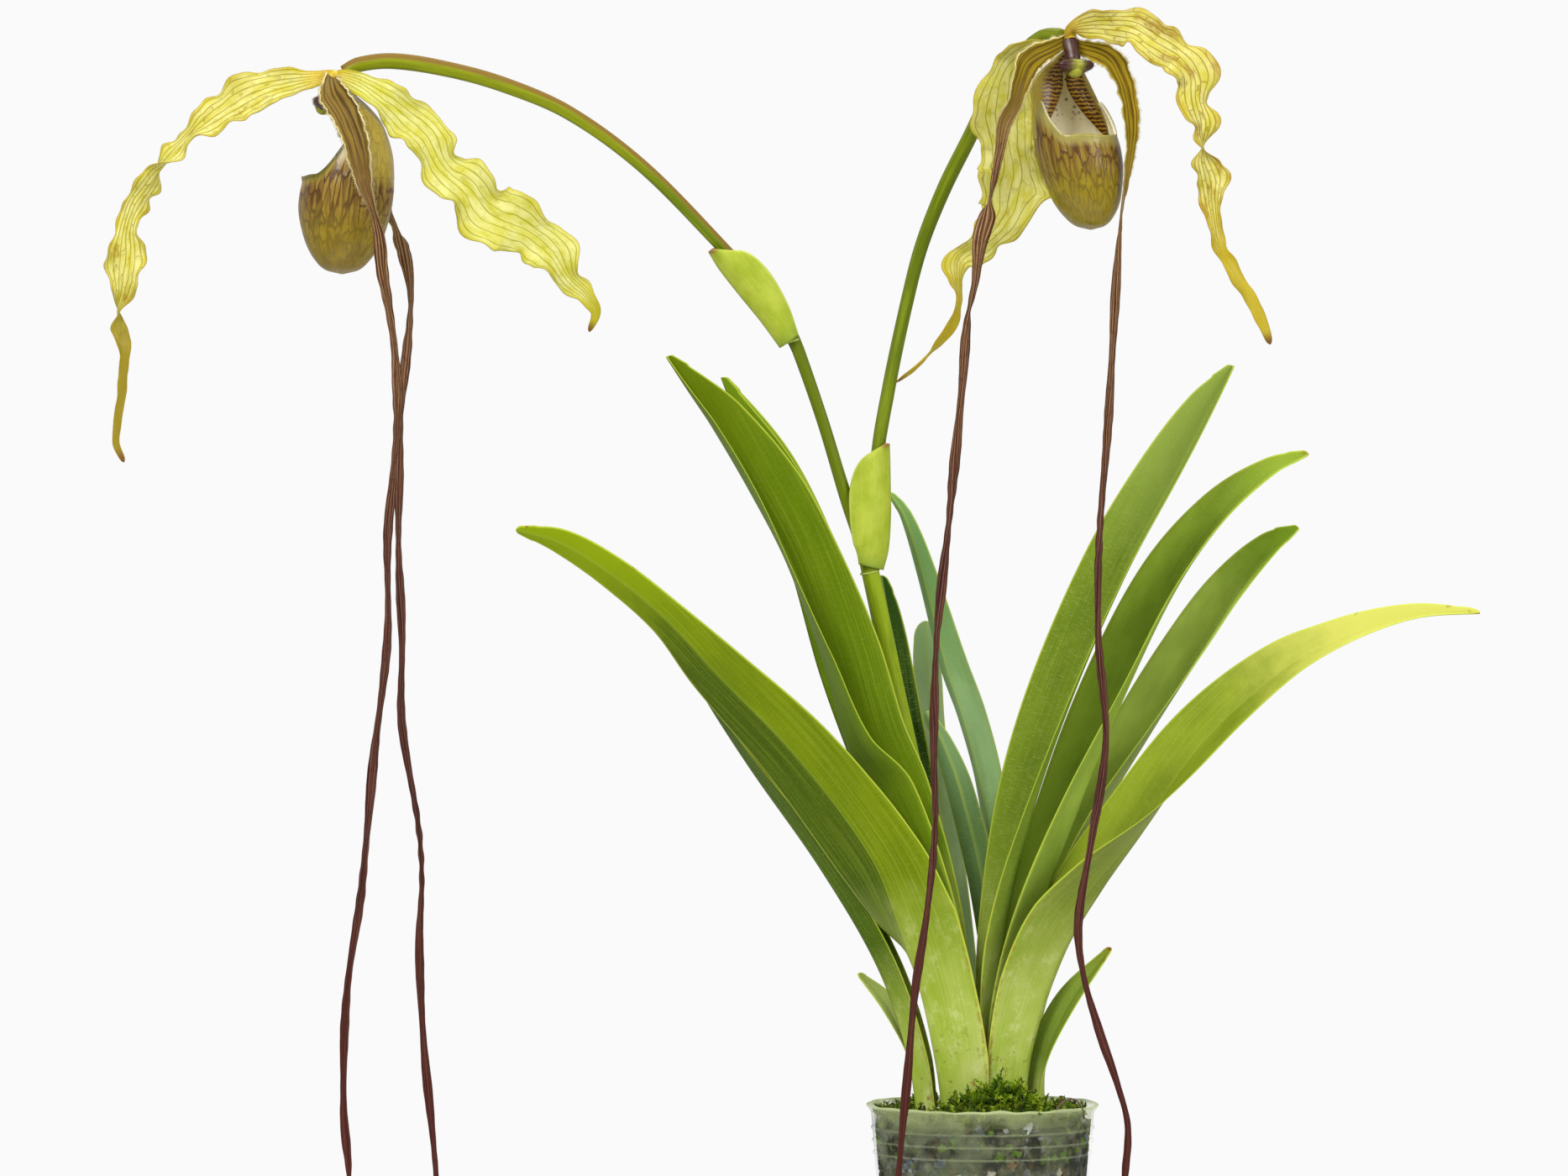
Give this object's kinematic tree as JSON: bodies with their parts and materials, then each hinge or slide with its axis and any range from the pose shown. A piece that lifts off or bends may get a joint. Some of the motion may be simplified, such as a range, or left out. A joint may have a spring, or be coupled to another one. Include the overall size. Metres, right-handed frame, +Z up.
{
  "type": "potted slipper orchid",
  "caption": "Slipper orchid with a fan of strap leaves and two long-petalled flowers on one stem, in a clear pot.",
  "frame": {"origin": "middle of the pot's underside, on the small flat centre foot that stands level with the foot ring", "axes": "+Z up out of the pot; the plant is seen from -Y, with the flower on the arched stalk towards -X"},
  "size_m": [0.5264, 0.1602, 0.499],
  "materials": {
    "clear_plastic": "thin clear nursery-pot plastic, slightly milky",
    "potting_mix": "damp gravel, bark and charcoal",
    "moss": "soft living moss",
    "rhizome": "rough woody rhizome and roots",
    "leaf": "smooth satin leaf",
    "stem": "smooth green stem",
    "bract": "papery yellow-green sheath",
    "sepal": "veined pale yellow sepal",
    "petal": "veined maroon-brown petal",
    "lip": "glossy olive pouch with brown veins",
    "column": "velvety dark maroon"
  },
  "bodies": {
    "root": {"pot": "clear_plastic", "potting_mix": "potting_mix", "rhizome": "rhizome", "moss": "moss", "leaf_left_low": "leaf", "leaf_left_tall": "leaf", "leaf_left_inner": "leaf", "leaf_left_outer": "leaf", "leaf_left_small": "leaf", "leaf_right_tall": "leaf", "leaf_right_second": "leaf", "leaf_right_third": "leaf", "leaf_right_low": "leaf", "leaf_right_narrow": "leaf", "leaf_right_small": "leaf", "leaf_back_dark": "leaf", "leaf_back_long": "leaf", "leaf_back_round": "leaf", "leaf_back_short": "leaf", "flower_stem": "stem", "ovary_right": "stem", "ovary_left": "stem", "bract_lower": "bract", "bract_upper": "bract", "dorsal_sepal_left": "sepal", "synsepal_left": "sepal", "dorsal_sepal_right": "sepal", "synsepal_right": "sepal", "petal_left_near": "petal", "petal_left_far": "petal", "petal_right_near": "petal", "petal_right_far": "petal", "lip_left": "lip", "column_left": "column", "lip_right": "lip", "column_right": "column"}
  },
  "joints": []
}
